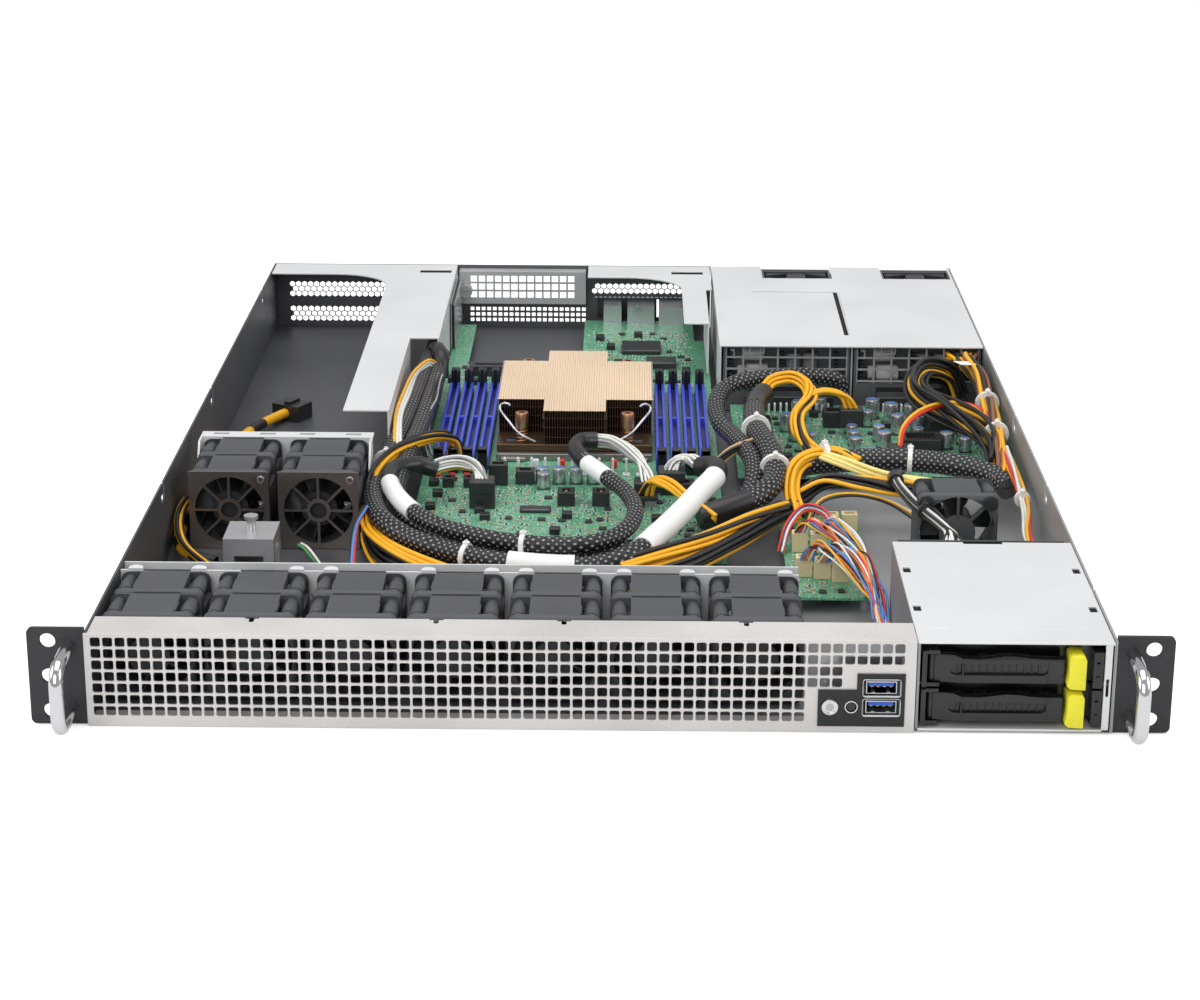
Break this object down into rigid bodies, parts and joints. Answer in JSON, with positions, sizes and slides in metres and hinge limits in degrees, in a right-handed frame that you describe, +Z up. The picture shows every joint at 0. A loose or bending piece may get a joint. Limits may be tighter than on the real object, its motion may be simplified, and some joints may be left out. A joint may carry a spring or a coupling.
{
  "type": "1u rack server",
  "caption": "Lidless 1U rack-mount accelerator server: perforated front with a fan wall, two slide-out drive trays, finned processor cooler and twin slide-out power modules.",
  "frame": {"origin": "centre of the tray's underside", "axes": "+X to the right seen from the front, +Y from the front panel to the rear, +Z up"},
  "size_m": [0.4826, 0.688, 0.0435],
  "materials": {
    "tray_zinc": "dark zinc-plated steel sheet",
    "panel_grey": "light warm grey coated sheet",
    "cover_grey": "pale grey galvanised sheet",
    "ear_black": "black powder coat",
    "chrome": "polished chrome plate",
    "overlay_black": "black overlay",
    "fan_black": "dark grey moulded plastic",
    "rotor_black": "black moulded plastic",
    "guard_steel": "pressed steel",
    "bracket_steel": "bright zinc-plated steel",
    "psu_black": "dark grey coated case",
    "psu_green": "black release tab",
    "tab_yellow": "yellow release tab",
    "carrier_black": "black moulded plastic",
    "board_green": "green solder mask",
    "connector_cream": "cream nylon headers",
    "part_black": "black chip and connector bodies",
    "socket_blue": "blue moulded socket",
    "latch_black": "black moulded latch",
    "sink_copper": "pale copper fins",
    "screw_copper": "copper coloured spring screws",
    "frame_steel": "dark plated bolster",
    "port_steel": "plated shells",
    "sleeve_black": "black braided sleeve",
    "wire_yellow": "yellow and black wire insulation",
    "button_steel": "bright button"
  },
  "bodies": {
    "chassis": {"tray": "tray_zinc", "front_grille": "panel_grey", "io_panel": "overlay_black", "front_io_board": "board_green", "rack_ears": "ear_black", "pull_handles": "chrome", "front_fan_frames": "fan_black", "fan_wall_bracket": "cover_grey", "gpu_fan_frames": "fan_black", "gpu_fan_guards": "guard_steel", "gpu_fan_bracket": "cover_grey", "cover_stud_bracket": "bracket_steel", "bay_fan_frame": "fan_black", "drive_cage": "cover_grey", "drive_backplane": "board_green", "psu_cage_cover": "cover_grey", "power_board": "board_green", "fan_hub_board": "connector_cream", "left_cover_plate": "cover_grey", "right_cover_plate": "cover_grey", "card_holder": "cover_grey", "rear_io_ports": "port_steel", "motherboard": "board_green", "board_components": "part_black", "memory_sockets": "socket_blue", "cpu_frame": "frame_steel", "heatsink": "sink_copper", "heatsink_screws": "screw_copper", "sleeved_cables": "sleeve_black", "wire_bundles": "wire_yellow", "gpu_power_cable": "wire_yellow", "gpu_power_plug": "part_black"},
    "front_fan_rotor_1": {"front_fan_rotor_1": "rotor_black"},
    "front_fan_rotor_2": {"front_fan_rotor_2": "rotor_black"},
    "front_fan_rotor_3": {"front_fan_rotor_3": "rotor_black"},
    "front_fan_rotor_4": {"front_fan_rotor_4": "rotor_black"},
    "front_fan_rotor_5": {"front_fan_rotor_5": "rotor_black"},
    "front_fan_rotor_6": {"front_fan_rotor_6": "rotor_black"},
    "front_fan_rotor_7": {"front_fan_rotor_7": "rotor_black"},
    "gpu_fan_rotor_1": {"gpu_fan_rotor_1": "rotor_black"},
    "gpu_fan_rotor_2": {"gpu_fan_rotor_2": "rotor_black"},
    "bay_fan_rotor": {"bay_fan_rotor": "rotor_black"},
    "psu_1": {"psu_1": "psu_black"},
    "psu_fan_rotor_1": {"psu_fan_rotor_1": "rotor_black"},
    "psu_latch_1": {"psu_latch_1": "psu_green"},
    "psu_2": {"psu_2": "psu_black"},
    "psu_fan_rotor_2": {"psu_fan_rotor_2": "rotor_black"},
    "psu_latch_2": {"psu_latch_2": "psu_green"},
    "drive_carrier_lower": {"drive_carrier_lower": "carrier_black"},
    "carrier_lever_lower": {"carrier_lever_lower": "carrier_black"},
    "release_tab_lower": {"release_tab_lower": "tab_yellow"},
    "drive_carrier_upper": {"drive_carrier_upper": "carrier_black"},
    "carrier_lever_upper": {"carrier_lever_upper": "carrier_black"},
    "release_tab_upper": {"release_tab_upper": "tab_yellow"},
    "power_button": {"power_button": "button_steel"},
    "reset_button": {"reset_button": "button_steel"},
    "memory_latches_front": {"memory_latches_front": "latch_black"},
    "memory_latches_rear": {"memory_latches_rear": "latch_black"},
    "thumbscrew": {"thumbscrew": "chrome"}
  },
  "joints": [
    {"name": "front_fan_rotor_1_spin", "type": "hinge", "parent": "chassis", "child": "front_fan_rotor_1", "pos_m": [-0.1945, -0.2724, 0.0213], "axis": [0, 1, 0], "continuous": true},
    {"name": "front_fan_rotor_2_spin", "type": "hinge", "parent": "chassis", "child": "front_fan_rotor_2", "pos_m": [-0.1508, -0.2724, 0.0213], "axis": [0, 1, 0], "continuous": true},
    {"name": "front_fan_rotor_3_spin", "type": "hinge", "parent": "chassis", "child": "front_fan_rotor_3", "pos_m": [-0.1071, -0.2724, 0.0213], "axis": [0, 1, 0], "continuous": true},
    {"name": "front_fan_rotor_4_spin", "type": "hinge", "parent": "chassis", "child": "front_fan_rotor_4", "pos_m": [-0.0634, -0.2724, 0.0213], "axis": [0, 1, 0], "continuous": true},
    {"name": "front_fan_rotor_5_spin", "type": "hinge", "parent": "chassis", "child": "front_fan_rotor_5", "pos_m": [-0.0197, -0.2724, 0.0213], "axis": [0, 1, 0], "continuous": true},
    {"name": "front_fan_rotor_6_spin", "type": "hinge", "parent": "chassis", "child": "front_fan_rotor_6", "pos_m": [0.024, -0.2724, 0.0213], "axis": [0, 1, 0], "continuous": true},
    {"name": "front_fan_rotor_7_spin", "type": "hinge", "parent": "chassis", "child": "front_fan_rotor_7", "pos_m": [0.0677, -0.2724, 0.0213], "axis": [0, 1, 0], "continuous": true},
    {"name": "gpu_fan_rotor_1_spin", "type": "hinge", "parent": "chassis", "child": "gpu_fan_rotor_1", "pos_m": [-0.187, -0.075, 0.0213], "axis": [0, 1, 0], "continuous": true},
    {"name": "gpu_fan_rotor_2_spin", "type": "hinge", "parent": "chassis", "child": "gpu_fan_rotor_2", "pos_m": [-0.1426, -0.075, 0.0213], "axis": [0, 1, 0], "continuous": true},
    {"name": "bay_fan_rotor_spin", "type": "hinge", "parent": "chassis", "child": "bay_fan_rotor", "pos_m": [0.172, -0.117, 0.0213], "axis": [0, 1, 0], "continuous": true},
    {"name": "psu_1_slide", "type": "slide", "parent": "chassis", "child": "psu_1", "axis": [0, 1, 0], "range_m": [0, 0.185]},
    {"name": "psu_fan_rotor_1_spin", "type": "hinge", "parent": "psu_1", "child": "psu_fan_rotor_1", "pos_m": [0.1175, 0.311, 0.0209], "axis": [0, 1, 0], "continuous": true},
    {"name": "psu_latch_1_squeeze", "type": "slide", "parent": "psu_1", "child": "psu_latch_1", "axis": [1, 0, 0], "range_m": [0, 0.0015], "stiffness_N_per_m": 1500},
    {"name": "psu_2_slide", "type": "slide", "parent": "chassis", "child": "psu_2", "axis": [0, 1, 0], "range_m": [0, 0.185]},
    {"name": "psu_fan_rotor_2_spin", "type": "hinge", "parent": "psu_2", "child": "psu_fan_rotor_2", "pos_m": [0.1934, 0.311, 0.0209], "axis": [0, 1, 0], "continuous": true},
    {"name": "psu_latch_2_squeeze", "type": "slide", "parent": "psu_2", "child": "psu_latch_2", "axis": [1, 0, 0], "range_m": [0, 0.0015], "stiffness_N_per_m": 1500},
    {"name": "drive_carrier_lower_slide", "type": "slide", "parent": "chassis", "child": "drive_carrier_lower", "axis": [0, -1, 0], "range_m": [0, 0.115]},
    {"name": "carrier_lever_lower_swing", "type": "hinge", "parent": "drive_carrier_lower", "child": "carrier_lever_lower", "pos_m": [0.1398, -0.3204, 0.0117], "axis": [0, 0, -1], "range_deg": [0, 75]},
    {"name": "release_tab_lower_press", "type": "slide", "parent": "drive_carrier_lower", "child": "release_tab_lower", "axis": [1, 0, 0], "range_m": [0, 0.002], "stiffness_N_per_m": 900},
    {"name": "drive_carrier_upper_slide", "type": "slide", "parent": "chassis", "child": "drive_carrier_upper", "axis": [0, -1, 0], "range_m": [0, 0.115]},
    {"name": "carrier_lever_upper_swing", "type": "hinge", "parent": "drive_carrier_upper", "child": "carrier_lever_upper", "pos_m": [0.1398, -0.3204, 0.029], "axis": [0, 0, -1], "range_deg": [0, 75]},
    {"name": "release_tab_upper_press", "type": "slide", "parent": "drive_carrier_upper", "child": "release_tab_upper", "axis": [1, 0, 0], "range_m": [0, 0.002], "stiffness_N_per_m": 900},
    {"name": "power_button_press", "type": "slide", "parent": "chassis", "child": "power_button", "axis": [0, 1, 0], "range_m": [0, 0.001], "stiffness_N_per_m": 1200},
    {"name": "reset_button_press", "type": "slide", "parent": "chassis", "child": "reset_button", "axis": [0, 1, 0], "range_m": [0, 0.001], "stiffness_N_per_m": 1200},
    {"name": "memory_latches_front_tip", "type": "hinge", "parent": "chassis", "child": "memory_latches_front", "pos_m": [-0.018, -0.0058, 0.0089], "axis": [1, 0, 0], "range_deg": [0, 25]},
    {"name": "memory_latches_rear_tip", "type": "hinge", "parent": "chassis", "child": "memory_latches_rear", "pos_m": [-0.018, 0.1518, 0.0089], "axis": [-1, 0, 0], "range_deg": [0, 25]},
    {"name": "thumbscrew_turn", "type": "hinge", "parent": "chassis", "child": "thumbscrew", "pos_m": [-0.093, 0.316, 0.028], "axis": [0, 1, 0], "continuous": true}
  ]
}
